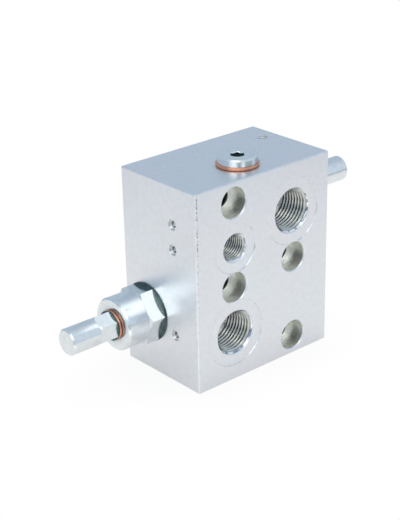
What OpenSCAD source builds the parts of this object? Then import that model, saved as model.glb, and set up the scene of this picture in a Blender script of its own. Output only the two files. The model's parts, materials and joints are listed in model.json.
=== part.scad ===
// Dual counterbalance valve in one steel block, with a brake shuttle valve, as bolted to the back
// of an orbital hydraulic motor.
//
// Millimetres, +Z up. The origin is the centre of the mounting face, which is the plane y = 0.
// The hose ports face -Y and the two counterbalance cartridges lie along X. The block is the same
// after half a turn about Y, apart from the brake port and its shuttle.
//
// Each cartridge is modelled in its own frame: z = 0 on the face of the block, +z out of it.

/* [Block] */
// Width of the block, along the cartridges
block_w = 80; // [79:1:86]
// Depth of the block, from the port face to the mounting face
block_d = 50; // [49:1:56]
// Height of the block
block_h = 95; // [94:1:105]
// Broken edge all round the block
edge_break = 0.5; // [0.2:0.1:1]

/* [Hose ports] */
// Major diameter of the hose port thread, G 1/2
hose_thread_d = 20.955; // [19.5:0.005:21]
// Depth of full thread in a hose port
hose_thread_depth = 17; // [14:0.5:18]
// Distance of a hose port from the middle of the block, in X
hose_port_x = 17.5; // [17:0.5:18]
// Distance of a hose port from the middle of the block, in Z
hose_port_z = 24.5; // [24:0.5:25.5]
// Diameter of the machined ring around a hose port
hose_spotface_d = 32; // [28:0.5:34]

/* [Brake port] */
// Major diameter of the brake port thread, G 1/4, also used by the shuttle plug
brake_thread_d = 13.157; // [12.5:0.001:13.5]
// Depth of full thread in the brake port
brake_thread_depth = 13; // [11:0.5:13.5]
// Distance of the brake port from the middle of the block, in X
brake_port_x = 17.3; // [17:0.1:18]
// Height of the brake port above the middle of the block
brake_port_z = 16.6; // [16:0.1:17.5]
// Diameter of the machined ring around the brake port
brake_spotface_d = 23.6; // [20:0.2:25]

/* [Mounting] */
// Diameter of a through hole, for an M8 screw
bolt_hole_d = 9; // [8.4:0.1:9]
// Diameter of the counterbore for the screw head
counterbore_d = 14; // [13.5:0.1:14.5]
// Depth of the counterbore
counterbore_depth = 9; // [8:0.5:12]
// Distance of a bolt row from the middle of the block, in X
bolt_x = 18; // [17.5:0.5:18.5]
// Height of the upper hole of the left-hand row
bolt_high_z = 38; // [37:0.5:38.5]
// Distance between the two holes of a row
bolt_spacing = 40; // [39:0.5:40.5]

/* [Motor ports] */
// Diameter of a port in the mounting face
motor_port_d = 12; // [10:0.5:12]
// Distance of a motor port from the middle of the block, in X and in Z
motor_port_offset = 18; // [17.5:0.5:18.5]
// Diameter of the O-ring recess
motor_recess_d = 20; // [19:0.5:20.5]
// Depth of the O-ring recess
motor_recess_depth = 1.9; // [1.6:0.1:2]

/* [Cartridges] */
// Distance of a cartridge's axis from the middle of the block, in Z
cartridge_z = 18.7; // [18:0.1:19]
// Distance of the cartridges' axes behind the mounting face
cartridge_inset = 14.7; // [14.5:0.1:15.5]
// Size of the bonnet's hexagon across its flats
bonnet_af = 24; // [23.5:0.1:24.8]
// Reach of the bonnet out of the block
bonnet_reach = 19.6; // [19:0.1:22]
// Turn of the bonnet's hexagon about its axis, in degrees
bonnet_turn = 38; // [0:1:59]

/* [Cap nuts] */
// Size of the cap nut's hexagon across its flats
cap_af = 12; // [11.5:0.1:13]
// Length of the cap nut
cap_length = 24; // [23:0.5:27]
// Turn of the cap nut's hexagon about its axis, in degrees
cap_turn = 2; // [0:1:59]
// Thickness of the copper washer under the cap nut
cap_washer_t = 1.4; // [1:0.1:1.6]
// Thread diameter of the adjusting screw, M8
screw_d = 8; // [7.5:0.1:8.2]

/* [Shuttle plug] */
// Position of the shuttle's axis in X
shuttle_x = -1.4; // [-2:0.1:-1]
// Distance of the shuttle's axis behind the mounting face
shuttle_inset = 34.1; // [33.8:0.1:34.4]
// Diameter of the plug's round head
plug_head_d = 18; // [17:0.5:19]
// Thickness of the plug's head
plug_head_t = 3.2; // [2.5:0.1:4]
// Size of the plug's hexagon socket across its flats
plug_socket_af = 6; // [5:0.5:7]
// Outer diameter of the copper washer under the plug
plug_washer_d = 19.7; // [19:0.1:21]
// Thickness of that washer
plug_washer_t = 1.6; // [1.4:0.1:2]

/* [Expander plugs] */
// Diameter of an expander plug
expander_d = 5; // [4.6:0.1:5.4]
// Length of an expander plug
expander_length = 5; // [4.5:0.5:6]
// Diameter of the drilled galleries behind the plugs
gallery_d = 3.5; // [3:0.1:3.5]

/* [Hidden] */

$fn = 96;
past = 1;                         // how far a cutting tool runs past the surface it starts from
drill_tip = tan(31);              // depth of a drill point, per millimetre of its radius
fit_gap = 0.05;                   // radial clearance of a sliding fit
thread_gap = 0.1;                 // radial clearance between two plain cylinders that stand for threads
spring_gap = 0.05;                // clearance at each end of a spring
touch_gap = 0.02;                 // clearance between two faces that touch

face_x = block_w / 2;             // right-hand face
top_z = block_h / 2;              // top face
cartridge_y = -cartridge_inset;
shuttle_y = -shuttle_inset;
gallery_y = -34;
high_gallery_z = 29.3;            // joins the hose port on the far side to the shuttle
low_gallery_z = 24;               // reaches the hose port on the near side
brake_gallery_z = 17.5;           // joins the brake port to the middle of the shuttle
drain_x = face_x - 7.8;
drain_y = -14.5;

// Ports
spotface_depth = 0.4;
hose_r = hose_thread_d / 2;
hose_drill_r = 9.3;
hose_drill_depth = hose_thread_depth + 1.5;
brake_r = brake_thread_d / 2;
brake_drill_r = 5.7;
brake_drill_depth = brake_thread_depth + 1.4;
rim = 0.37;                       // chamfer at the mouth of a threaded port
motor_port_depth = 12;

// The cavity that holds a cartridge: radii, and depths below the face of the block
thread_r = 11.05;
mouth_r = 13.4;
mouth_depth = 2.6;
thread_end = 15.2;
sleeve_bore_r = 9;
groove_r = 10.2;
groove_start = 25;
groove_end = 30;
sleeve_end = 34.2;
check_bore_r = 7.5;
check_end = 51;
nose_bore_r = 5;
nose_end = 60;
supply_drill_r = 4;
supply_drill_depth = 26.5;        // where the drilling from the hose port meets the cavity
supply_drill_drop = 3;            // that drilling's distance from the cartridge's axis, in Z

// Bonnet, in the cartridge's frame
shank_end = -14.9;
collar_r = bonnet_af / 2 / cos(30) + 0.14;
collar_t = 0.6;
barrel_r = bonnet_af / 2 + 0.35;
flats_runout = 0.3;               // how far the flats run past the cone, into the barrel
spring_room_r = 8.6;
spring_room_top = 13.6;
screw_r = screw_d / 2 - 0.03;
screw_hole_r = screw_d / 2 + 0.03;
screw_top = bonnet_reach + 18.4;
screw_socket_af = 4;

// Cap nut
cap_base = bonnet_reach + cap_washer_t;
cap_top = cap_base + cap_length;
cap_bore_r = screw_hole_r + 0.27;
cap_collar_r = cap_af / 2 / cos(30) + 0.07;
cap_barrel_r = cap_af / 2 + 0.2;
cap_washer_r = cap_collar_r + 0.15;

// Moving parts of a cartridge
disc_r = 8.2;
boss_r = 4.2;
disc_t = 2;
boss_t = 3;
guide_face = -9;                  // faces that the main spring stands between
seat_face = 10;
sleeve_top = -15;
sleeve_foot = -34;
sleeve_chamber_top = -24.5;
stem_r = 4.5 - fit_gap;
chamber_r = 6.5;
ring_groove_r = 7.2;
ring_r = 0.87;                    // wire radius of a sleeve O-ring
high_groove_top = -17.6;          // this groove holds the backup ring too
high_groove_foot = -21.4;
low_groove_top = -31.3;
low_groove_foot = -33.2;
backup_ring_t = 1;
seal_hole_r = 3.2;
check_top = sleeve_foot - fit_gap;
check_web = 3.15;
check_length = 8;
check_skirt_r = 6.3;
poppet_seal_r = seal_hole_r - fit_gap;

// Shuttle
shuttle_bore_r = 4.6;
shuttle_ball_r = 4;
shuttle_hole_r = 2.2;
shuttle_travel = 1.4;
shuttle_drop = sqrt(pow(shuttle_ball_r, 2) - pow(shuttle_hole_r, 2)) + shuttle_travel + touch_gap;
shuttle_low_z = brake_gallery_z - shuttle_drop;
shuttle_high_z = brake_gallery_z + shuttle_drop;
plug_thread_depth = 13;
plug_spotface_r = 11;
plug_spotface_depth = 0.2;
plug_under_z = top_z - plug_spotface_depth + plug_washer_t;

// Expander plugs
expander_r = expander_d / 2;
expander_recess = 1.2;
expander_ball_r = 1.5;

steel = [0.80, 0.83, 0.86];
bright_steel = [0.72, 0.74, 0.77];
spring_steel = [0.55, 0.58, 0.62];
copper = [0.82, 0.50, 0.36];
rubber = [0.10, 0.10, 0.10];
nylon = [0.90, 0.88, 0.82];

// ---- Frames ------------------------------------------------------------------------------

// Draws its children twice, the second time turned half a turn about Y
module both_sides() {
    for (turn = [0, 180])
        rotate([0, turn, 0])
            children();
}

// Places a cartridge's part in the left-hand side of the block
module in_left() {
    translate([-face_x, cartridge_y, -cartridge_z])
        rotate([0, -90, 0])
            children();
}

module in_right() {
    rotate([0, 180, 0])
        in_left()
            children();
}

// Places a port tool, whose +z leaves the metal, on the port face
module on_front(x, z) {
    translate([x, -block_d, z])
        rotate([90, 0, 0])
            children();
}

module on_rear(x, z) {
    translate([x, 0, z])
        rotate([-90, 0, 0])
            children();
}

module on_left_face(y, z) {
    translate([-face_x, y, z])
        rotate([0, -90, 0])
            children();
}

module at_expanders() {
    both_sides() {
        on_left_face(gallery_y, high_gallery_z) children();
        on_left_face(gallery_y, -low_gallery_z) children();
        translate([-drain_x, drain_y, -top_z]) rotate([180, 0, 0]) children();
    }
    on_left_face(gallery_y, brake_gallery_z) children();
}

// ---- Shared shapes -----------------------------------------------------------------------

module turned(profile) {
    rotate_extrude()
        polygon(profile);
}

module torus(mid_r, wire_r) {
    rotate_extrude()
        translate([mid_r, 0])
            circle(r = wire_r, $fn = 32);
}

// A hole with a drill point
module drilled(r, depth) {
    turned([[0, past], [r, past], [r, -depth], [0, -depth - r * drill_tip]]);
}

module chamfered_rectangle(w, h, c) {
    x = w / 2;
    y = h / 2;
    polygon([
        [c - x, -y], [x - c, -y], [x, c - y], [x, y - c],
        [x - c, y], [c - x, y], [-x, y - c], [-x, c - y]
    ]);
}

// What is milled off a turned stock to leave a hexagon between two heights
module around_hexagon(across_flats, stock_r, bottom, top, turn) {
    translate([0, 0, bottom])
        difference() {
            cylinder(r = stock_r + past, h = top - bottom);
            translate([0, 0, -past])
                rotate([0, 0, turn])
                    cylinder(r = across_flats / 2 / cos(30), h = top - bottom + 2 * past, $fn = 6);
        }
}

// A flat ring whose outer rim is rounded
function rounded_rim(r, t, steps = 8) = [
    for (i = [0 : steps])
        [r - t / 2 + t / 2 * cos(180 * i / steps - 90), t / 2 + t / 2 * sin(180 * i / steps - 90)]
];

module soft_washer(inner_r, outer_r, t) {
    turned(concat([[inner_r, t], [inner_r, 0]], rounded_rim(outer_r, t)));
}

// Height of a coil's centre line after some turns: both ends are closed, with one touching turn
function coil_height(turn, turns, rise, closed_pitch) =
    turn < 1 ? turn * closed_pitch :
    turn > turns - 1 ? rise - (turns - turn) * closed_pitch :
    closed_pitch + (turn - 1) / (turns - 2) * (rise - 2 * closed_pitch);

// A compression spring that stands on z = 0
module coil_spring(mid_r, wire_r, length, turns, sides, steps_a_turn = 24) {
    rise = length - 2 * wire_r;
    closed_pitch = 2.06 * wire_r;
    last = turns * steps_a_turn;
    points = [
        for (i = [0 : last], k = [0 : sides - 1])
            let (
                around = 360 * i / steps_a_turn,
                r = mid_r + wire_r * cos(360 * k / sides),
                h = wire_r + coil_height(i / steps_a_turn, turns, rise, closed_pitch)
            )
            [r * cos(around), r * sin(around), h + wire_r * sin(360 * k / sides)]
    ];
    walls = [
        for (i = [0 : last - 1], k = [0 : sides - 1])
            let (a = i * sides + k, b = i * sides + (k + 1) % sides)
            [a, b, b + sides, a + sides]
    ];
    first_end = [for (k = [0 : sides - 1]) sides - 1 - k];
    last_end = [for (k = [0 : sides - 1]) last * sides + k];
    polyhedron(points = points, faces = concat(walls, [first_end, last_end]));
}

// ---- Block -------------------------------------------------------------------------------

module plain_block() {
    translate([0, -block_d / 2, 0])
        intersection() {
            linear_extrude(block_h, center = true)
                chamfered_rectangle(block_w, block_d, edge_break);
            rotate([90, 0, 0])
                linear_extrude(block_d, center = true)
                    chamfered_rectangle(block_w, block_h, edge_break);
            rotate([0, 90, 0])
                linear_extrude(block_w, center = true)
                    chamfered_rectangle(block_h, block_d, edge_break);
        }
}

module threaded_port(major_r, drill_r, thread_depth, drill_depth, spotface_r) {
    rim_depth = spotface_depth + rim;
    turned([
        [0, past], [spotface_r, past], [spotface_r, -spotface_depth], [major_r + rim, -spotface_depth],
        [major_r, -rim_depth], [major_r, -thread_depth], [drill_r, -thread_depth - major_r + drill_r],
        [drill_r, -drill_depth], [0, -drill_depth - drill_r * drill_tip]
    ]);
}

module counterbored_hole() {
    hole_r = bolt_hole_d / 2;
    head_r = counterbore_d / 2;
    chamfer = 0.5;
    start = 2 * past;             // clear of the top of the ports' tools, whose rings it crosses
    turned([
        [0, start], [head_r + chamfer + start, start], [head_r, -chamfer],
        [head_r, -counterbore_depth], [hole_r, -counterbore_depth], [hole_r, -block_d - past],
        [0, -block_d - past]
    ]);
}

module motor_port() {
    port_r = motor_port_d / 2;
    turned([
        [0, past], [motor_recess_d / 2, past], [motor_recess_d / 2, -motor_recess_depth],
        [port_r, -motor_recess_depth], [port_r, -motor_port_depth],
        [0, -motor_port_depth - port_r * drill_tip]
    ]);
}

module cartridge_cavity() {
    turned([
        [0, past], [mouth_r, past], [mouth_r, 0], [thread_r, -mouth_depth], [thread_r, -thread_end],
        [sleeve_bore_r, -thread_end], [sleeve_bore_r, -groove_start], [groove_r, -groove_start],
        [groove_r, -groove_end], [sleeve_bore_r, -groove_end], [sleeve_bore_r, -sleeve_end],
        [check_bore_r, -sleeve_end], [check_bore_r, -check_end], [nose_bore_r, -check_end],
        [nose_bore_r, -nose_end], [0, -nose_end - nose_bore_r * drill_tip]
    ]);
}

// From the bottom of a hose port into the cartridge's cavity
module supply_drilling() {
    start_y = -block_d + hose_thread_depth - 1;
    translate([supply_drill_depth - face_x, start_y, -cartridge_z - supply_drill_drop])
        rotate([-90, 0, 0])
            cylinder(r = supply_drill_r, h = cartridge_y - start_y - 1);
}

module expander_hole() {
    hole_r = expander_r + touch_gap;
    chamfer = 0.33;
    floor_z = -expander_recess - expander_length - 0.2;
    turned([
        [0, past], [hole_r + chamfer + past, past], [hole_r + chamfer, 0], [hole_r, -chamfer],
        [hole_r, floor_z], [0, floor_z]
    ]);
}

module galleries() {
    r = gallery_d / 2;
    both_sides() {
        on_left_face(gallery_y, high_gallery_z) drilled(r, face_x + hose_port_x - 0.7 * hose_r);
        on_left_face(gallery_y, -low_gallery_z) drilled(r, face_x - hose_port_x - hose_r + 2);
        translate([-drain_x, drain_y, -top_z])
            rotate([180, 0, 0])
                drilled(r, top_z - cartridge_z - thread_r + 1);
    }
    on_left_face(gallery_y, brake_gallery_z) drilled(r, face_x + shuttle_x);
}

module shuttle_bore() {
    thread_foot = top_z - plug_thread_depth;
    step_z = thread_foot - 2;
    floor_z = top_z - plug_spotface_depth;
    translate([shuttle_x, shuttle_y, 0])
        turned([
            [0, top_z + past], [plug_spotface_r, top_z + past], [plug_spotface_r, floor_z],
            [brake_r + rim, floor_z], [brake_r, floor_z - rim], [brake_r, thread_foot],
            [brake_drill_r, thread_foot - brake_r + brake_drill_r],
            [brake_drill_r, step_z], [shuttle_bore_r, step_z - brake_drill_r + shuttle_bore_r],
            [shuttle_bore_r, shuttle_low_z], [shuttle_hole_r, shuttle_low_z],
            [shuttle_hole_r, -high_gallery_z], [0, -high_gallery_z - shuttle_hole_r * drill_tip]
        ]);
}

module valve_block() {
    color(steel)
        difference() {
            plain_block();
            both_sides() {
                in_left() cartridge_cavity();
                on_front(-hose_port_x, -hose_port_z)
                    threaded_port(hose_r, hose_drill_r, hose_thread_depth, hose_drill_depth,
                                  hose_spotface_d / 2);
                supply_drilling();
                for (z = [bolt_high_z, bolt_high_z - bolt_spacing])
                    on_front(-bolt_x, z) counterbored_hole();
                on_rear(motor_port_offset, -motor_port_offset) motor_port();
            }
            on_front(-brake_port_x, brake_port_z)
                threaded_port(brake_r, brake_drill_r, brake_thread_depth, brake_drill_depth,
                              brake_spotface_d / 2);
            shuttle_bore();
            galleries();
            at_expanders() expander_hole();
        }
}

// ---- Cartridge parts, each in the cartridge's frame ------------------------------------------

module bonnet() {
    shank_r = thread_r - thread_gap;
    bevel = 0.9;
    shank_bevel = 0.5;
    cone_foot = 7.2;
    cone_top = cone_foot + 0.56 * (collar_r - barrel_r);
    drain_r = 1;
    color(steel)
        difference() {
            turned([
                [0, shank_end], [shank_r - shank_bevel, shank_end], [shank_r, shank_end + shank_bevel],
                [shank_r, 0], [collar_r, 0], [collar_r, cone_foot], [barrel_r, cone_top],
                [barrel_r, bonnet_reach - bevel], [barrel_r - bevel, bonnet_reach], [0, bonnet_reach]
            ]);
            around_hexagon(bonnet_af, collar_r, collar_t, cone_top + flats_runout, bonnet_turn);
            turned([
                [0, shank_end - past], [spring_room_r, shank_end - past], [spring_room_r, spring_room_top],
                [screw_hole_r, spring_room_top], [screw_hole_r, bonnet_reach + past],
                [0, bonnet_reach + past]
            ]);
            for (side = [0, 180])
                rotate([0, 0, side])
                    translate([spring_room_r - past, 0, drain_x - face_x])
                        rotate([0, 90, 0])
                            cylinder(r = drain_r, h = shank_r - spring_room_r + 2 * past, $fn = 32);
        }
}

module cap_nut() {
    collar_top = cap_base + 0.5;
    cone_foot = cap_base + 8.2;
    cone_top = cone_foot + 1.14 * (cap_collar_r - cap_barrel_r);
    bore_top = cap_top - 2.5;
    bevel = 0.7;
    color(steel)
        difference() {
            turned([
                [0, cap_base], [cap_collar_r, cap_base], [cap_collar_r, cone_foot], [cap_barrel_r, cone_top],
                [cap_barrel_r, cap_top - bevel], [cap_barrel_r - bevel, cap_top], [0, cap_top]
            ]);
            around_hexagon(cap_af, cap_collar_r, collar_top, cone_top + flats_runout, cap_turn);
            turned([
                [0, cap_base - past], [cap_bore_r, cap_base - past], [cap_bore_r, bore_top], [0, bore_top]
            ]);
        }
}

module cap_washer() {
    color(copper)
        translate([0, 0, bonnet_reach])
            soft_washer(cap_bore_r, cap_washer_r, cap_washer_t);
}

module adjusting_screw() {
    foot = seat_face + disc_t + touch_gap;
    bevel = 0.6;
    socket_depth = 5;
    color(bright_steel)
        difference() {
            turned([
                [0, foot], [screw_r - bevel, foot], [screw_r, foot + bevel],
                [screw_r, screw_top - bevel], [screw_r - bevel, screw_top], [0, screw_top]
            ]);
            translate([0, 0, screw_top - socket_depth])
                cylinder(r = screw_socket_af / 2 / cos(30), h = socket_depth + past, $fn = 6);
        }
}

// A disc with a boss that centres the main spring. The boss points along +z.
module spring_disc() {
    bevel = 0.6;
    rim_bevel = 0.3;
    turned([
        [0, -disc_t], [disc_r - rim_bevel, -disc_t], [disc_r, rim_bevel - disc_t], [disc_r, 0], [boss_r, 0],
        [boss_r, boss_t - bevel], [boss_r - bevel, boss_t], [0, boss_t]
    ]);
}

module spring_seat() {
    color(bright_steel)
        translate([0, 0, seat_face])
            mirror([0, 0, 1])
                spring_disc();
}

module spring_guide() {
    color(bright_steel)
        translate([0, 0, guide_face])
            spring_disc();
}

module main_spring() {
    length = seat_face - guide_face - 2 * spring_gap;
    color(spring_steel)
        translate([0, 0, guide_face + spring_gap])
            coil_spring(mid_r = 6.6, wire_r = 1, length = length, turns = 5, sides = 10);
}

module poppet() {
    nose_r = 1.6;
    head_r = 4.2;
    neck_r = 2.4;
    bevel = 0.5;
    nose_z = check_top - poppet_seal_r + nose_r;
    head_foot = check_top - poppet_seal_r + head_r;
    head_top = head_foot + 0.4;
    stem_foot = -25.4;
    stem_top = guide_face - disc_t - touch_gap;
    color(bright_steel)
        turned([
            [0, nose_z], [nose_r, nose_z], [head_r, head_foot], [head_r, head_top],
            [neck_r, head_top + 1], [neck_r, stem_foot - 1], [stem_r, stem_foot],
            [stem_r, stem_top - bevel], [stem_r - bevel, stem_top], [0, stem_top]
        ]);
}

module sleeve() {
    outer_r = sleeve_bore_r - fit_gap;
    bore_r = stem_r + fit_gap;
    bevel = 0.5;
    cross_r = 2.2;
    cross_z = -(groove_start + groove_end) / 2;
    color(bright_steel)
        difference() {
            turned([
                [bore_r, sleeve_top], [outer_r - bevel, sleeve_top], [outer_r, sleeve_top - bevel],
                [outer_r, high_groove_top], [ring_groove_r, high_groove_top],
                [ring_groove_r, high_groove_foot], [outer_r, high_groove_foot],
                [outer_r, low_groove_top], [ring_groove_r, low_groove_top],
                [ring_groove_r, low_groove_foot], [outer_r, low_groove_foot],
                [outer_r, sleeve_foot], [chamber_r, sleeve_foot],
                [chamber_r, sleeve_chamber_top], [bore_r, sleeve_chamber_top]
            ]);
            for (turn = [0 : 60 : 300])
                rotate([0, 0, turn])
                    translate([chamber_r - past, 0, cross_z])
                        rotate([0, 90, 0])
                            cylinder(r = cross_r, h = outer_r - chamber_r + 2 * past, $fn = 48);
        }
}

module check_seat() {
    outer_r = check_bore_r - fit_gap;
    web_z = check_top - check_web;
    foot_z = check_top - check_length;
    notch_r = 1;
    notch_centre = outer_r + 0.45;
    color(bright_steel)
        difference() {
            turned([
                [seal_hole_r, check_top], [outer_r, check_top], [outer_r, foot_z],
                [check_skirt_r, foot_z], [check_skirt_r, web_z], [seal_hole_r, web_z]
            ]);
            for (turn = [0 : 90 : 270])
                rotate([0, 0, turn])
                    translate([notch_centre, 0, foot_z - past])
                        cylinder(r = notch_r, h = check_length + 2 * past, $fn = 32);
        }
}

module check_spring() {
    length = check_end + check_top - check_web - 2 * spring_gap;
    color(spring_steel)
        translate([0, 0, spring_gap - check_end])
            coil_spring(mid_r = 5.6, wire_r = 0.45, length = length, turns = 7, sides = 8, steps_a_turn = 20);
}

module bonnet_o_ring() {
    wire_r = 0.7;
    inset = wire_r + 0.03;        // clear of the collar above it, and of the thread
    color(rubber)
        translate([0, 0, -inset])
            torus(thread_r - thread_gap + inset, wire_r);
}

module sleeve_o_rings() {
    mid_r = (ring_groove_r + sleeve_bore_r) / 2;
    high_z = high_groove_foot + 1.4;
    low_z = (low_groove_top + low_groove_foot) / 2;
    color(rubber)
        for (z = [high_z, low_z])
            translate([0, 0, z])
                torus(mid_r, ring_r);
}

module backup_ring() {
    inner_r = ring_groove_r + fit_gap;
    outer_r = sleeve_bore_r - fit_gap;
    top = high_groove_top - fit_gap;
    foot = top - backup_ring_t;
    color(nylon)
        turned([[inner_r, top], [outer_r, top], [outer_r, foot], [inner_r, foot]]);
}

// ---- Shuttle -----------------------------------------------------------------------------

module shuttle_plug() {
    shank_r = brake_r - thread_gap;
    head_r = plug_head_d / 2;
    head_z = plug_under_z + plug_head_t;
    foot_z = top_z - plug_thread_depth + 1;
    socket_r = plug_socket_af / 2 / cos(30);
    socket_depth = 6;
    socket_turn = 49.5;
    lead_in = 0.5;                // depth of the cone that the socket starts with
    bevel = 0.7;
    color(steel)
        translate([shuttle_x, shuttle_y, 0])
            difference() {
                turned([
                    [0, foot_z], [shank_r - 1, foot_z], [shank_r, foot_z + 1], [shank_r, plug_under_z],
                    [head_r, plug_under_z], [head_r, head_z - bevel], [head_r - bevel, head_z], [0, head_z]
                ]);
                translate([0, 0, head_z - socket_depth])
                    rotate([0, 0, socket_turn])
                        cylinder(r = socket_r, h = socket_depth + past, $fn = 6);
                translate([0, 0, head_z])
                    turned([
                        [0, past], [socket_r + 0.15 + past, past],
                        [socket_r + 0.15 - lead_in, -lead_in], [0, -lead_in]
                    ]);
            }
}

module shuttle_plug_washer() {
    color(copper)
        translate([shuttle_x, shuttle_y, top_z - plug_spotface_depth])
            soft_washer(brake_r + 0.15, plug_washer_d / 2, plug_washer_t);
}

module shuttle_seat() {
    outer_r = shuttle_bore_r - touch_gap;
    seat_top = high_gallery_z - gallery_d / 2 - 0.5;
    color(bright_steel)
        translate([shuttle_x, shuttle_y, 0])
            turned([
                [shuttle_hole_r, shuttle_high_z], [outer_r, shuttle_high_z],
                [outer_r, seat_top], [shuttle_hole_r, seat_top]
            ]);
}

module shuttle_ball() {
    color(bright_steel)
        translate([shuttle_x, shuttle_y, brake_gallery_z])
            sphere(r = shuttle_ball_r);
}

// ---- Plugs and seals in the block ----------------------------------------------------------

module expander_sleeves() {
    cup_r = expander_ball_r + 0.03;
    top = -expander_recess;
    foot = top - expander_length;
    cup_floor = foot + 1.2;
    color(bright_steel)
        at_expanders()
            turned([
                [0, foot], [expander_r, foot], [expander_r, top], [cup_r, top],
                [cup_r, cup_floor], [0, cup_floor]
            ]);
}

module expander_balls() {
    color(bright_steel)
        at_expanders()
            translate([0, 0, -expander_recess - 0.3 - expander_ball_r])
                sphere(r = expander_ball_r, $fn = 48);
}

module motor_port_o_rings() {
    wire_r = motor_recess_depth / 2 - touch_gap;
    color(rubber)
        both_sides()
            on_rear(motor_port_offset, -motor_port_offset)
                translate([0, 0, -motor_recess_depth / 2])
                    torus(motor_recess_d / 2 - wire_r - touch_gap, wire_r);
}

valve_block();
in_left() bonnet();  // left_bonnet
in_left() cap_nut();  // left_cap_nut
in_left() cap_washer();  // left_cap_washer
in_left() adjusting_screw();  // left_adjusting_screw
in_left() spring_seat();  // left_spring_seat
in_left() main_spring();  // left_main_spring
in_left() spring_guide();  // left_spring_guide
in_left() poppet();  // left_poppet
in_left() sleeve();  // left_sleeve
in_left() check_seat();  // left_check_seat
in_left() check_spring();  // left_check_spring
in_left() bonnet_o_ring();  // left_bonnet_o_ring
in_left() sleeve_o_rings();  // left_sleeve_o_rings
in_left() backup_ring();  // left_backup_ring
in_right() bonnet();  // right_bonnet
in_right() cap_nut();  // right_cap_nut
in_right() cap_washer();  // right_cap_washer
in_right() adjusting_screw();  // right_adjusting_screw
in_right() spring_seat();  // right_spring_seat
in_right() main_spring();  // right_main_spring
in_right() spring_guide();  // right_spring_guide
in_right() poppet();  // right_poppet
in_right() sleeve();  // right_sleeve
in_right() check_seat();  // right_check_seat
in_right() check_spring();  // right_check_spring
in_right() bonnet_o_ring();  // right_bonnet_o_ring
in_right() sleeve_o_rings();  // right_sleeve_o_rings
in_right() backup_ring();  // right_backup_ring
shuttle_plug();
shuttle_plug_washer();
shuttle_seat();
shuttle_ball();
expander_sleeves();
expander_balls();
motor_port_o_rings();
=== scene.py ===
"""Looks of the dual counterbalance valve block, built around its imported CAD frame.

Metres, in the frame of the CAD: the mounting face is y = 0, the hose ports face -Y, +Z is up.
"""
import json
import math

import bmesh
import bpy
import numpy as np
from mathutils import Matrix, Vector


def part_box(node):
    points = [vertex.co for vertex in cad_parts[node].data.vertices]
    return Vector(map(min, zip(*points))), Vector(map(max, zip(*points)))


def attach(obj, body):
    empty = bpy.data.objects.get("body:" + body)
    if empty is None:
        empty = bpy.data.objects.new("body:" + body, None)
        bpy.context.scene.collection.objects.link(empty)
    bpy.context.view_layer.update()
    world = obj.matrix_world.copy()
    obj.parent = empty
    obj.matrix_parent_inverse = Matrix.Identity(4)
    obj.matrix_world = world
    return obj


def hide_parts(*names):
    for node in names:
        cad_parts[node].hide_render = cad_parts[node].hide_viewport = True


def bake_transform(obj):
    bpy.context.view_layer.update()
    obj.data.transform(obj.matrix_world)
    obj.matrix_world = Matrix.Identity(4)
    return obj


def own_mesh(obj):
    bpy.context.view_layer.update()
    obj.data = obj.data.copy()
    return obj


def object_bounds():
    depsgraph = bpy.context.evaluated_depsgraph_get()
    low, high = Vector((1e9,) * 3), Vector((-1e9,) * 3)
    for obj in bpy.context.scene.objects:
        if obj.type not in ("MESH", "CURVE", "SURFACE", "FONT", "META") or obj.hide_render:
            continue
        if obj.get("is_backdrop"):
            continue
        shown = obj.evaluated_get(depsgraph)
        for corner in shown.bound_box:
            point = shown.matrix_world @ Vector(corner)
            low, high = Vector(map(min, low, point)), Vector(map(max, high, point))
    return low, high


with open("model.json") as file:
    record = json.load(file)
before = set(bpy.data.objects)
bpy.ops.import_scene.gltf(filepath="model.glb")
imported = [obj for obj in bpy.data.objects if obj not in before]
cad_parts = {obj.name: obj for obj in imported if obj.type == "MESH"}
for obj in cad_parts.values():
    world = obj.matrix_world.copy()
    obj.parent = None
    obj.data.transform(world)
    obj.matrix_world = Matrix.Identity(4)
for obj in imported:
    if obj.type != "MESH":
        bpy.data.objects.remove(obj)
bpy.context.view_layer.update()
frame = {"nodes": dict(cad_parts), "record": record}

NODES = frame["nodes"]
RECORD = frame["record"]
MOUNTS = {m["name"]: m for m in RECORD["mounts"]}
MM = 0.001

# Depth of the spotface around each threaded port, and of the chamfer inside it.
SPOTFACE = 0.4 * MM
PORT_RIM = 0.37 * MM

# Pitch and height of the pipe threads.
G_HALF = (1.814 * MM, 1.16 * MM)
G_QUARTER = (1.337 * MM, 0.856 * MM)

# What the metal mirrors, as linear light. Each _WAY is the direction in which it is seen.
FLOOR_NEAR = (0.88, 0.885, 0.89)
FLOOR_FAR = (0.42, 0.50, 0.56)
WALL_FRONT = (0.68, 0.76, 0.86)
WALL_BACK = (0.485, 0.58, 0.69)
CEILING = (0.70, 0.735, 0.785)
SOFT_BOX = (1.70, 1.74, 1.74)
CAMERA_SIDE = (0.06, 0.08, 0.18)
SHEET = (1.30, 1.33, 1.35)
SHEET_WAY = (-0.69, -0.59, -0.41)
LEGS_WAY = (-0.74, -0.65, -0.17)
HIGH_BOX_WAY = (-0.58, -0.41, 0.71)
FRONT_BOX_WAY = (-0.12, -0.87, 0.47)
CAMERA_WAY = (-0.57, -0.74, 0.33)


# ---- Small helpers for node materials ------------------------------------------------------

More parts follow.
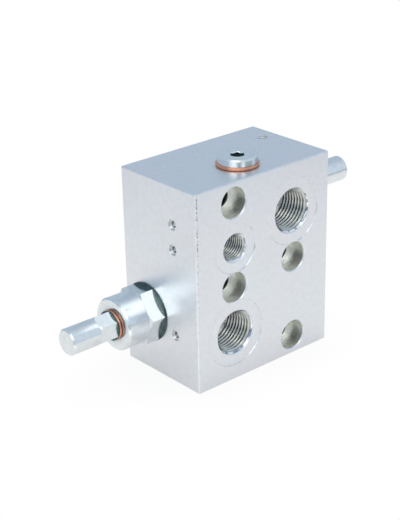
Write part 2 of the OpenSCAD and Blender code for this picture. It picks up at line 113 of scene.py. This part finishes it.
class Shader:
    """One node material, with short calls that add nodes and link them."""

    def __init__(self, name):
        self.material = bpy.data.materials.new(name)
        self.material.use_nodes = True
        self.tree = self.material.node_tree
        self.tree.nodes.clear()
        self.output = self.tree.nodes.new("ShaderNodeOutputMaterial")
        self.surface = self.tree.nodes.new("ShaderNodeBsdfPrincipled")
        self.tree.links.new(self.surface.outputs["BSDF"], self.output.inputs["Surface"])
        coordinates = self.tree.nodes.new("ShaderNodeTexCoord")
        self.place = coordinates.outputs["Object"]

    def put(self, socket, value):
        if isinstance(value, bpy.types.NodeSocket):
            self.tree.links.new(value, socket)
        elif isinstance(value, (tuple, list)) and len(value) == 3 and socket.type == "RGBA":
            socket.default_value = (*value, 1.0)
        else:
            socket.default_value = value

    def node(self, kind, inputs=None, **settings):
        made = self.tree.nodes.new(kind)
        for key, value in settings.items():
            setattr(made, key, value)
        for key, value in (inputs or {}).items():
            self.put(made.inputs[key], value)
        return made

    def math(self, operation, a, b=0.0, c=0.0, clamp=False):
        made = self.node("ShaderNodeMath", {0: a, 1: b}, operation=operation, use_clamp=clamp)
        if operation in ("MULTIPLY_ADD", "SMOOTH_MAX", "SMOOTH_MIN"):
            self.put(made.inputs[2], c)
        return made.outputs[0]

    def noise(self, scale, detail=3.0, roughness=0.5, stretch=(1, 1, 1), distortion=0.0):
        place = self.place
        if stretch != (1, 1, 1):
            place = self.node("ShaderNodeMapping", {"Vector": place, "Scale": stretch}).outputs[0]
        inputs = {
            "Vector": place, "Scale": scale, "Detail": detail, "Roughness": roughness,
            "Distortion": distortion,
        }
        return self.node("ShaderNodeTexNoise", inputs).outputs[0]

    def span(self, value, low, high, to_low=0.0, to_high=1.0):
        """value from low..high to to_low..to_high, held at the ends."""
        made = self.node(
            "ShaderNodeMapRange",
            {"Value": value, "From Min": low, "From Max": high, "To Min": to_low, "To Max": to_high},
        )
        return made.outputs[0]

    def mix(self, share, a, b):
        made = self.node("ShaderNodeMix", {"Factor": share}, data_type="RGBA")
        self.put(made.inputs[6], a)
        self.put(made.inputs[7], b)
        return made.outputs[2]

    def worn_edge(self, radius, samples=6):
        """(normal rounded only near an edge, mask that is 1 on the edge)"""
        bevel = self.node("ShaderNodeBevel", {"Radius": radius}, samples=samples).outputs[0]
        plain = self.node("ShaderNodeNewGeometry").outputs["Normal"]
        product = self.node("ShaderNodeVectorMath", {0: bevel, 1: plain}, operation="DOT_PRODUCT")
        mask = self.span(product.outputs["Value"], 0.985, 0.93)
        near = self.node("ShaderNodeMix", {0: mask}, data_type="VECTOR")
        self.put(near.inputs[4], plain)
        self.put(near.inputs[5], bevel)
        return near.outputs[1], mask

    def crevice(self, reach, low, high):
        """1 deep in a corner, 0 on open surfaces: an occlusion mask for painting shade."""
        open_sky = self.node("ShaderNodeAmbientOcclusion", {"Distance": reach}, samples=8).outputs["AO"]
        return self.span(open_sky, low, high, 1.0, 0.0)

    def bump(self, height, distance, strength, normal=None):
        inputs = {"Height": height, "Distance": distance, "Strength": strength}
        if normal is not None:
            inputs["Normal"] = normal
        return self.node("ShaderNodeBump", inputs).outputs[0]

    def finish(self, **values):
        for key, value in values.items():
            self.put(self.surface.inputs[key.replace("_", " ")], value)
        return self.material


def add_all(shader, parts):
    total = parts[0]
    for part in parts[1:]:
        total = shader.math("ADD", total, part)
    return total


def patch(shader, way, centre, inner, outer):
    """1 within inner of a direction, 0 beyond outer; both are distances between unit vectors."""
    inputs = {0: way, 1: Vector(centre).normalized()}
    off = shader.node("ShaderNodeVectorMath", inputs, operation="DISTANCE").outputs["Value"]
    return shader.span(off, inner, outer, 1.0, 0.0)


# ---- Materials -----------------------------------------------------------------------------

def zinc_colour(shader, base, amount=1.0):
    """Passivated zinc: its film drifts between faint blue, green and pink."""
    drift = shader.span(shader.noise(24, detail=2), 0.25, 0.75)
    tint = shader.span(shader.noise(75, detail=3), 0.3, 0.7)
    fine = shader.span(shader.noise(420, detail=3), 0.3, 0.7)
    cool = tuple(c * f for c, f in zip(base, (0.955, 1.0, 1.015)))
    warm = tuple(c * f for c, f in zip(base, (1.02, 0.985, 1.0)))
    green = tuple(c * f for c, f in zip(base, (0.96, 1.0, 0.985)))
    film = shader.mix(drift, cool, warm)
    film = shader.mix(shader.math("MULTIPLY", tint, 0.4), film, green)
    dull = tuple(c * (1 - 0.13 * amount) for c in base)
    return shader.mix(shader.math("MULTIPLY", fine, 0.45), film, dull)


def plated_block():
    """Ground and zinc-plated steel. Inside the holes the plating is thin and olive, and painted shade darkens
    the screws' holes past their counterbores.
    """
    s = Shader("block_zinc")
    low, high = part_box("valve_block")
    xyz = s.node("ShaderNodeSeparateXYZ", {0: s.place})
    depths = []
    for axis in range(3):
        middle, half = (low[axis] + high[axis]) / 2, (high[axis] - low[axis]) / 2
        away = s.math("ABSOLUTE", s.math("SUBTRACT", xyz.outputs[axis], middle))
        depths.append(s.math("SUBTRACT", half, away))
    depth = s.math("MINIMUM", s.math("MINIMUM", depths[0], depths[1]), depths[2])
    inside = s.span(depth, 0.6 * MM, 1.6 * MM)

    outer = zinc_colour(s, (0.86, 0.870, 0.895))
    blotch = s.span(s.noise(160, detail=4), 0.3, 0.7)
    inner = s.mix(blotch, (0.76, 0.77, 0.70), (1.0, 1.0, 0.96))

    def from_axis(x, z):
        """Distance from a line along Y."""
        across = s.math("SUBTRACT", xyz.outputs[0], x)
        above = s.math("SUBTRACT", xyz.outputs[2], z)
        squares = s.math("ADD", s.math("MULTIPLY", across, across), s.math("MULTIPLY", above, above))
        return s.math("SQRT", squares)

    # Painted shade: the screws' holes are painted dark beyond their counterbores, as the shade deep inside
    # them.
    for name in ("left_bolts", "right_bolts"):
        x, _, z = MOUNTS[name]["pos_m"]
        half = MOUNTS[name]["dims"]["spacing_y_mm"] * MM / 2
        for hole_z in (z - half, z + half):
            reach = (MOUNTS[name]["dims"]["hole_r_mm"] + 0.1) * MM
            in_hole = s.math("LESS_THAN", from_axis(x, hole_z), reach)
            past_counterbore = s.span(xyz.outputs[1], low.y + 9.3 * MM, low.y + 11 * MM)
            dark = s.math("MULTIPLY", in_hole, past_counterbore)
            inner = s.mix(dark, inner, (0.14, 0.145, 0.13))
    normal, edge = s.worn_edge(0.45 * MM)
    # Painted reflection: the rims are worn bright and carry painted dark-blue glints in bits.
    painted_glint_bits = s.span(s.noise(420, detail=1), 0.56, 0.62)
    rim_wear_and_glints = s.mix(s.math("MULTIPLY", painted_glint_bits, 0.5), (0.94, 0.96, 0.97), (0.30, 0.36, 0.46))
    on_rim = s.math("MULTIPLY", edge, s.math("SUBTRACT", 0.8, inside, clamp=True))
    colour = s.mix(on_rim, s.mix(inside, outer, inner), rim_wear_and_glints)

    # Dark nicks beside the front left edge, more of them towards the top.
    beside = s.math(
        "MULTIPLY",
        s.span(xyz.outputs[0], low.x + 1.3 * MM, low.x + 0.9 * MM),
        s.span(xyz.outputs[0], low.x + 0.4 * MM, low.x + 0.6 * MM),
    )
    beside = s.math("MULTIPLY", beside, s.math("LESS_THAN", xyz.outputs[1], low.y + 0.05 * MM))
    high_up = s.span(xyz.outputs[2], -0.3 * high.z, 0.6 * high.z, 0.0, 0.16)
    dents = s.noise(900, detail=3)
    nick = s.span(s.math("ADD", dents, high_up), 0.60, 0.72)
    colour = s.mix(s.math("MULTIPLY", nick, beside), colour, (0.34, 0.32, 0.30))

    # Faint straight marks of the grinding wheel, fine pitting of the plating, and the rings that
    # the spotfacing tool left around each threaded port.
    grind = s.noise(300, detail=1, stretch=(0.06, 0.06, 1.0))
    waver = s.noise(70, detail=1)
    rings = []
    for name in ("hose_port_v1", "hose_port_v2", "brake_port"):
        x, _, z = MOUNTS[name]["pos_m"]
        reach = 2.0 * MOUNTS[name]["dims"]["r_mm"] * MM
        far = from_axis(x, z)
        near = s.math("LESS_THAN", far, reach)
        wave = s.math("SINE", s.math("MULTIPLY", far, 2 * math.pi / (0.32 * MM)))
        rings.append(s.math("MULTIPLY", wave, near))
    on_spotface = s.math(
        "MULTIPLY",
        s.math("GREATER_THAN", xyz.outputs[1], low.y + SPOTFACE - 0.1 * MM),
        s.math("LESS_THAN", xyz.outputs[1], low.y + SPOTFACE + 0.1 * MM),
    )
    turned = s.math("MULTIPLY", add_all(s, rings), on_spotface)
    height = add_all(s, [
        s.math("MULTIPLY", grind, 0.4), s.math("MULTIPLY", waver, 2.0), s.math("MULTIPLY", turned, 0.5),
    ])
    bumped = s.bump(height, 0.003 * MM, 0.12, normal)
    rough = add_all(s, [
        s.span(s.noise(40, detail=2), 0.25, 0.75, 0.33, 0.40),
        s.math("MULTIPLY", inside, 0.06),
        s.math("MULTIPLY", edge, -0.06),
    ])
    return s.finish(Base_Color=colour, Metallic=1.0, Roughness=rough, Normal=bumped)


def plated_fitting():
    """Turned and zinc-plated steel of the bonnets, cap nuts and plug: brighter than the block."""
    s = Shader("fitting_zinc")
    normal, edge = s.worn_edge(0.3 * MM)
    film = zinc_colour(s, (0.86, 0.89, 0.90), 1.5)
    colour = s.mix(s.math("MULTIPLY", edge, 0.5), film, (0.93, 0.94, 0.95))

    # Painted shade: the flange against the block and the one under the cap nut are painted dark teal, as the
    # shade between the parts, and painted shade from occlusion greys the bonnet's end around the copper
    # washer.
    along = s.math("ABSOLUTE", s.node("ShaderNodeSeparateXYZ", {0: s.place}).outputs[0])

    def between(low, high):
        return s.math("MULTIPLY", s.math("GREATER_THAN", along, low), s.math("LESS_THAN", along, high))

    face_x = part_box("valve_block")[1].x
    end_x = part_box("right_bonnet")[1].x
    cap_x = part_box("right_cap_nut")[0].x
    drift = s.span(s.noise(220, detail=2), 0.3, 0.7)
    flange_shade = s.mix(drift, (0.05, 0.085, 0.085), (0.10, 0.145, 0.145))
    colour = s.mix(between(face_x - 0.1 * MM, face_x + 0.65 * MM), colour, flange_shade)
    colour = s.mix(between(cap_x - 0.1 * MM, cap_x + 0.55 * MM), colour, flange_shade)
    # Painted shade: occlusion darkens the bonnet's end around the copper washer.
    washer_shade = s.math("MULTIPLY", between(end_x - 0.02 * MM, end_x + 0.02 * MM), s.crevice(3.5 * MM, 0.5, 0.95))
    colour = s.mix(washer_shade, colour, (0.45, 0.52, 0.54))

    # Painted reflection: dark upright streaks are painted on the rim of the shuttle plug, where it would
    # mirror the room.
    facing = s.node("ShaderNodeSeparateXYZ", {0: s.node("ShaderNodeNewGeometry").outputs["Normal"]})
    upright = s.math("LESS_THAN", s.math("ABSOLUTE", facing.outputs[2]), 0.5)
    on_plug = s.math("MULTIPLY", s.math("LESS_THAN", along, 0.5 * face_x), upright)
    painted_streak = s.span(s.noise(330, detail=1, stretch=(1, 1, 0.02)), 0.42, 0.56)
    colour = s.mix(s.math("MULTIPLY", painted_streak, on_plug), colour, (0.42, 0.52, 0.53))

    lathe = s.noise(900, detail=1, stretch=(1.0, 0.03, 0.03))
    bumped = s.bump(lathe, 0.003 * MM, 0.15, normal)
    rough = s.span(s.noise(70, detail=4), 0.3, 0.7, 0.15, 0.23)
    return s.finish(Base_Color=colour, Metallic=1.0, Roughness=rough, Normal=bumped)


def cut_thread():
    """Zinc-plated thread: painted shade darkens the roots, and the mouth's chamfer is painted bright with dark
    glints.
    """
    s = Shader("port_thread")
    drift = s.span(s.noise(180, detail=3), 0.3, 0.7)
    colour = s.mix(drift, (0.56, 0.585, 0.56), (0.70, 0.715, 0.68))
    # Painted shade: the roots of the thread are painted near black where they are occluded.
    colour = s.mix(s.crevice(1.6 * MM, 0.2, 0.85), colour, (0.035, 0.04, 0.036))

    # Painted highlight and reflection: the chamfer at the mouth is painted bright, with dark bits painted
    # where it would mirror the room.
    deep = s.node("ShaderNodeSeparateXYZ", {0: s.place}).outputs[1]
    mouth = s.math("LESS_THAN", deep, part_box("valve_block")[0].y + 1.5 * MM)
    painted_glint_bits = s.span(s.noise(330, detail=1), 0.53, 0.58)
    chamfer = s.mix(s.math("MULTIPLY", painted_glint_bits, 0.85), (0.95, 0.97, 0.98), (0.24, 0.30, 0.42))
    colour = s.mix(mouth, colour, chamfer)
    normal = s.bump(s.noise(2000, detail=2), 0.003 * MM, 0.15)
    rough = s.span(s.noise(250, detail=3), 0.3, 0.7, 0.22, 0.32)
    return s.finish(Base_Color=colour, Metallic=1.0, Roughness=rough, Normal=normal)


def soft_copper():
    s = Shader("copper")
    normal, edge = s.worn_edge(0.2 * MM)
    mottle = s.span(s.noise(260, detail=4), 0.3, 0.7)
    base = s.mix(mottle, (0.82, 0.42, 0.29), (0.66, 0.30, 0.20))
    colour = s.mix(s.math("MULTIPLY", edge, 0.4), base, (0.95, 0.58, 0.42))
    bumped = s.bump(s.noise(1500, detail=3), 0.01 * MM, 0.3, normal)
    rough = s.span(s.noise(300, detail=3), 0.3, 0.7, 0.24, 0.38)
    return s.finish(Base_Color=colour, Metallic=1.0, Roughness=rough, Normal=bumped)


def plain_metal(name, base, dark, low_rough, high_rough, grain_scale=1800):
    """A worked metal whose colour and roughness drift, with brighter edges."""
    s = Shader(name)
    normal, edge = s.worn_edge(0.2 * MM)
    drift = s.span(s.noise(140, detail=4), 0.3, 0.7)
    bright = tuple(min(1.0, 1.25 * c) for c in base)
    colour = s.mix(s.math("MULTIPLY", edge, 0.5), s.mix(drift, base, dark), bright)
    bumped = s.bump(s.noise(grain_scale, detail=2), 0.006 * MM, 0.3, normal)
    rough = s.span(s.noise(200, detail=4), 0.3, 0.7, low_rough, high_rough)
    return s.finish(Base_Color=colour, Metallic=1.0, Roughness=rough, Normal=bumped)


def plain_polymer(name, base, lighter, low_rough, high_rough):
    s = Shader(name)
    normal, edge = s.worn_edge(0.1 * MM)
    drift = s.span(s.noise(220, detail=4), 0.3, 0.7)
    colour = s.mix(s.math("MULTIPLY", edge, 0.3), s.mix(drift, base, lighter), lighter)
    bumped = s.bump(s.noise(2200, detail=3), 0.01 * MM, 0.3, normal)
    rough = s.span(s.noise(300, detail=3), 0.3, 0.7, low_rough, high_rough)
    return s.finish(Base_Color=colour, Metallic=0.0, Roughness=rough, Normal=bumped)


MATERIALS = {
    "block_zinc": plated_block(),
    "fitting_zinc": plated_fitting(),
    "port_thread": cut_thread(),
    "copper": soft_copper(),
    "hardened_steel": plain_metal("hardened_steel", (0.50, 0.50, 0.50), (0.40, 0.40, 0.41), 0.20, 0.32),
    "spring_steel": plain_metal("spring_steel", (0.30, 0.31, 0.33), (0.22, 0.22, 0.24), 0.30, 0.45),
    "ball_steel": plain_metal("ball_steel", (0.66, 0.66, 0.66), (0.58, 0.58, 0.58), 0.06, 0.12),
    "expander_steel": plain_metal("expander_steel", (0.80, 0.82, 0.82), (0.66, 0.68, 0.68), 0.14, 0.24),
    "seal_rubber": plain_polymer("seal_rubber", (0.012, 0.012, 0.013), (0.03, 0.03, 0.032), 0.45, 0.6),
    "seal_nylon": plain_polymer("seal_nylon", (0.80, 0.77, 0.68), (0.86, 0.84, 0.77), 0.35, 0.5),
}


def dress_cad_nodes():
    """Each CAD node takes the material of its slot in the record."""
    for part in RECORD["subparts"]:
        piece = NODES[part["node"]]
        piece.data.materials.clear()
        piece.data.materials.append(MATERIALS[part["material_slot"]])


# ---- Threads -------------------------------------------------------------------------------

def ridge(turn, roundness=0.94):
    """Height, 0 to 1, of a rounded triangular thread at a place given in turns."""
    limit = np.arcsin(roundness)
    return 0.5 + 0.5 * np.arcsin(roundness * np.cos(2 * np.pi * turn)) / limit


def grid_mesh(name, rings, closed_ends=True):
    """A mesh from rings of points, each ring joined to the next, with its ends capped."""
    made = bpy.data.meshes.new(name)
    count, sides = len(rings), len(rings[0])
    verts = [tuple(p) for ring in rings for p in ring]
    faces = []
    for i in range(count - 1):
        for k in range(sides):
            a, b = i * sides + k, i * sides + (k + 1) % sides
            faces.append((a, b, b + sides, a + sides))
    if closed_ends:
        faces.append(tuple(reversed(range(sides))))
        faces.append(tuple(range((count - 1) * sides, count * sides)))
    else:
        last = (count - 1) * sides
        faces.extend((last + k, last + (k + 1) % sides, (k + 1) % sides, k) for k in range(sides))
    made.from_pydata(verts, [], faces)
    made.validate()
    return made


def link_piece(name, mesh, place, body, slot, smooth_angle=35, material=None):
    """Puts a mesh in the row frame as a piece in that slot's material, on a body unless that is None."""
    mesh.transform(place)
    shape = bmesh.new()
    shape.from_mesh(mesh)
    bmesh.ops.recalc_face_normals(shape, faces=shape.faces)
    for edge in shape.edges:
        edge.smooth = len(edge.link_faces) == 2 and edge.calc_face_angle(0.0) < math.radians(smooth_angle)
    for face in shape.faces:
        face.smooth = True
    shape.to_mesh(mesh)
    shape.free()
    mesh.materials.append(MATERIALS[material or slot])
    piece = bpy.data.objects.new(name, mesh)
    bpy.context.scene.collection.objects.link(piece)
    if body is not None:
        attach(piece, body)
    return piece


def axis_frame(origin, out, up=Vector((0, 0, 1))):
    """A matrix whose +Z leaves origin along out."""
    z = Vector(out).normalized()
    x = up.cross(z).normalized()
    y = z.cross(x)
    return Matrix.Translation(origin) @ Matrix((x, y, z)).transposed().to_4x4()


def port_thread(name, mount, pitch, ridge_height):
    """The thread inside a port: a thin lining whose ridges stand in from the CAD wall."""
    m = MOUNTS[mount]
    wall = m["dims"]["r_mm"] * MM
    length = m["dims"]["length_mm"] * MM
    face_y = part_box("valve_block")[0].y
    top = -(SPOTFACE + PORT_RIM)
    embed = 0.08 * MM
    sides, steps_a_pitch = 96, 12
    rows = int(length / pitch * steps_a_pitch)
    angles = np.linspace(0, 2 * np.pi, sides, endpoint=False)
    rings = []
    for i in range(rows + 1):
        deep = length * i / rows
        turn = deep / pitch + angles / (2 * np.pi)
        thread_r = wall - ridge_height * ridge(turn)
        mouth_r = wall - deep
        r = np.maximum(thread_r, mouth_r)
        z = np.full(sides, top - deep)
        rings.append(np.stack([r * np.cos(angles), r * np.sin(angles), z], axis=1))
    for deep in (length, 0.0):
        r = wall + embed
        z = np.full(sides, top - deep)
        rings.append(np.stack([r * np.cos(angles), r * np.sin(angles), z], axis=1))
    mesh = grid_mesh(name, rings, closed_ends=False)
    x, _, z = m["pos_m"]
    place = axis_frame((x, face_y, z), m["axis"])
    return link_piece(name, mesh, place, "block", "block_zinc", material="port_thread")


def hexagon_radius(angle, across_flats):
    """Distance from the middle of a hexagon to its side, in a direction."""
    sixth = math.pi / 3
    off = (angle % sixth) - sixth / 2
    return across_flats / 2 / np.cos(off)


def threaded_screw(side, out, pitch=1.25 * MM, depth=0.62 * MM, across_flats=4 * MM, socket=5 * MM):
    """The adjusting screw with its real thread and its hexagon socket, in place of the plain CAD one."""
    node = f"{side}_adjusting_screw"
    low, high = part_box(node)
    centre = (low + high) / 2
    length = high.x - low.x
    outer_r = (high.z - low.z) / 2
    sides, steps_a_pitch = 48, 10
    bevel = 0.6 * MM
    rows = int(length / pitch * steps_a_pitch)
    angles = np.linspace(0, 2 * np.pi, sides, endpoint=False)

    def ring(r, z):
        r = np.broadcast_to(r, sides)
        return np.stack([r * np.cos(angles), r * np.sin(angles), np.full(sides, z)], axis=1)

    rings = []
    for i in range(rows + 1):
        z = length * i / rows
        turn = -z / pitch + angles / (2 * np.pi)
        thread_r = outer_r - depth * (1 - ridge(turn))
        end_r = outer_r - bevel + min(z, length - z, bevel)
        rings.append(ring(np.minimum(thread_r, end_r), z))
    flat_r = hexagon_radius(angles, across_flats)
    rings.append(ring(flat_r, length))
    rings.append(ring(flat_r, length - socket))
    mesh = grid_mesh(node + "_threaded", rings)
    foot = centre - Vector(out) * length / 2
    piece = link_piece(node + "_threaded", mesh, axis_frame(foot, out), f"{side}_screw", "hardened_steel")
    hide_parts(node)
    return piece


# ---- Springs -------------------------------------------------------------------------------

MAIN_TURNS = 5
CHECK_TURNS = 7
SPRING_SMOOTH = 60


def wire_radius(node):
    """The wire of a CAD spring, from the hole that its coils leave along the middle."""
    low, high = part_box(node)
    middle = (low + high) / 2
    hole_r = min(math.hypot(v.co.y - middle.y, v.co.z - middle.z) for v in NODES[node].data.vertices)
    return ((high.z - low.z) / 2 - hole_r) / 2


def coil_mesh(name, node, turns, first_turn, last_turn):
    """Part of a coil spring along X in the place of a CAD spring. Its end turns lie side by side."""
    low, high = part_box(node)
    middle = (low + high) / 2
    wire_r = wire_radius(node)
    coil_r = (high.z - low.z) / 2 - wire_r
    rise = high.x - low.x - 2 * wire_r
    closed = 2.06 * wire_r
    sides, steps_a_turn = 20, 64
    around = np.linspace(0, 2 * np.pi, sides, endpoint=False)
    rings = []
    for turn in np.linspace(first_turn, last_turn, int((last_turn - first_turn) * steps_a_turn) + 1):
        x = np.interp(turn, (0, 1, turns - 1, turns), (0, closed, rise - closed, rise))
        r = coil_r + wire_r * np.cos(around)
        angle = 2 * np.pi * turn
        along = low.x + wire_r + x + wire_r * np.sin(around)
        y = middle.y + r * np.cos(angle)
        z = middle.z + r * np.sin(angle)
        rings.append(np.stack([along, y, z], axis=1))
    return grid_mesh(name, rings)


def main_spring(side, out):
    """A spring in two halves, outer and inner, each with half of its turns, in place of the CAD spring.
    """
    node = f"{side}_main_spring"
    for part, body, way in (("outer", "seat", out), ("inner", "poppet", -out)):
        first, last = (MAIN_TURNS / 2, MAIN_TURNS) if way > 0 else (0, MAIN_TURNS / 2)
        mesh = coil_mesh(f"{node}_{part}", node, MAIN_TURNS, first, last)
        piece = link_piece(mesh.name, mesh, Matrix.Identity(4), None, "spring_steel", SPRING_SMOOTH)
        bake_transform(piece)
        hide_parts(node)


def check_spring(side):
    """A coil spring in place of the CAD check spring, on the block."""
    node = f"{side}_check_spring"
    mesh = coil_mesh(node + "_coil", node, CHECK_TURNS, 0, CHECK_TURNS)
    piece = link_piece(mesh.name, mesh, Matrix.Identity(4), "block", "spring_steel", SPRING_SMOOTH)
    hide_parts(node)
    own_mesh(piece)


# ---- Studio --------------------------------------------------------------------------------

def floor():
    """A plain white floor. To the camera it is white with a faint contact shadow.

    The metal mirrors it as paper that is bright near the block and falls off to a cool grey.
    """
    low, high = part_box("valve_block")
    middle = (low + high) / 2
    size = 4.0
    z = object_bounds()[0].z - 0.02 * MM
    made = bpy.data.meshes.new("floor")
    corners = [(-size, -size, z), (size, -size, z), (size, size, z), (-size, size, z)]
    made.from_pydata(corners, [], [(0, 1, 2, 3)])
    s = Shader("floor")
    contact = s.node("ShaderNodeAmbientOcclusion", {"Distance": 0.03}, samples=8).outputs["AO"]
    seen = s.mix(contact, (0.93, 0.935, 0.94), (1.0, 1.0, 1.0))
    out = s.node("ShaderNodeVectorMath", {0: s.place, 1: middle}, operation="DISTANCE").outputs["Value"]
    mirrored = s.mix(s.span(out, 0.25, 0.60), FLOOR_NEAR, FLOOR_FAR)
    incoming = s.node("ShaderNodeNewGeometry").outputs["Incoming"]
    way = s.node("ShaderNodeVectorMath", {0: incoming, 1: (-1, -1, -1)}, operation="MULTIPLY").outputs[0]
    mirrored = s.mix(patch(s, way, SHEET_WAY, 0.10, 0.22), mirrored, SHEET)
    mirrored = s.mix(patch(s, way, LEGS_WAY, 0.09, 0.12), mirrored, CAMERA_SIDE)
    # Painted shadow: the floor the metal mirrors is darker where the block occludes it.
    mirrored = s.mix(contact, (0.55, 0.57, 0.58), mirrored)
    to_camera = s.node("ShaderNodeLightPath").outputs["Is Camera Ray"]
    made.materials.append(s.finish(
        Base_Color=(0.0, 0.0, 0.0), Roughness=0.9, Specular_IOR_Level=0.0,
        Emission_Color=s.mix(to_camera, mirrored, seen), Emission_Strength=1.0,
    ))
    piece = bpy.data.objects.new("floor", made)
    bpy.context.scene.collection.objects.link(piece)
    piece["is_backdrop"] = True


def studio_world():
    """The room the metal mirrors. The camera itself sees plain white."""
    world = bpy.data.worlds.new("studio")
    bpy.context.scene.world = world
    world.use_nodes = True
    s = Shader.__new__(Shader)
    s.tree = world.node_tree
    s.tree.nodes.clear()
    way = s.node("ShaderNodeTexCoord").outputs["Generated"]
    split = s.node("ShaderNodeSeparateXYZ", {0: way}).outputs

    wall = s.mix(s.span(split[1], -0.6, 0.2), WALL_FRONT, WALL_BACK)
    room = s.mix(s.span(split[2], 0.75, 0.95), wall, CEILING)
    room = s.mix(patch(s, way, HIGH_BOX_WAY, 0.38, 0.60), room, SOFT_BOX)
    room = s.mix(patch(s, way, FRONT_BOX_WAY, 0.14, 0.18), room, SOFT_BOX)
    room = s.mix(patch(s, way, CAMERA_WAY, 0.10, 0.22), room, CAMERA_SIDE)

    to_camera = s.node("ShaderNodeLightPath").outputs["Is Camera Ray"]
    background = s.node("ShaderNodeBackground", {"Color": s.mix(to_camera, room, (1.0, 1.0, 1.0))})
    output = s.node("ShaderNodeOutputWorld")
    s.put(output.inputs["Surface"], background.outputs[0])


def camera():
    """A long lens from the front left, a little above the block."""
    low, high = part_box("valve_block")
    centre = (low + high) / 2
    azimuth, elevation, roll = math.radians(-40.55), math.radians(24.07), math.radians(-1.26)
    distance = 0.592
    aim = centre + Vector((-0.0120, 0.0053, -0.0003))
    back = Vector((
        math.sin(azimuth) * math.cos(elevation), -math.cos(azimuth) * math.cos(elevation), math.sin(elevation),
    ))
    lens = bpy.data.cameras.new("camera")
    lens.lens = 89.4
    lens.sensor_width = 36
    lens.clip_start, lens.clip_end = 0.01, 20
    made = bpy.data.objects.new("camera", lens)
    bpy.context.scene.collection.objects.link(made)
    turn = (-back).to_track_quat("-Z", "Y").to_matrix() @ Matrix.Rotation(roll, 3, "Z")
    made.matrix_world = Matrix.Translation(aim + back * distance) @ turn.to_4x4()
    bpy.context.scene.camera = made


dress_cad_nodes()
port_thread("thread_v1", "hose_port_v1", *G_HALF)
port_thread("thread_v2", "hose_port_v2", *G_HALF)
port_thread("thread_brake", "brake_port", *G_QUARTER)
threaded_screw("left", (-1, 0, 0))
threaded_screw("right", (1, 0, 0))
for side, out in (("left", -1), ("right", 1)):
    main_spring(side, out)
    check_spring(side)
floor()
studio_world()
camera()
bpy.context.scene.view_settings.view_transform = "Standard"
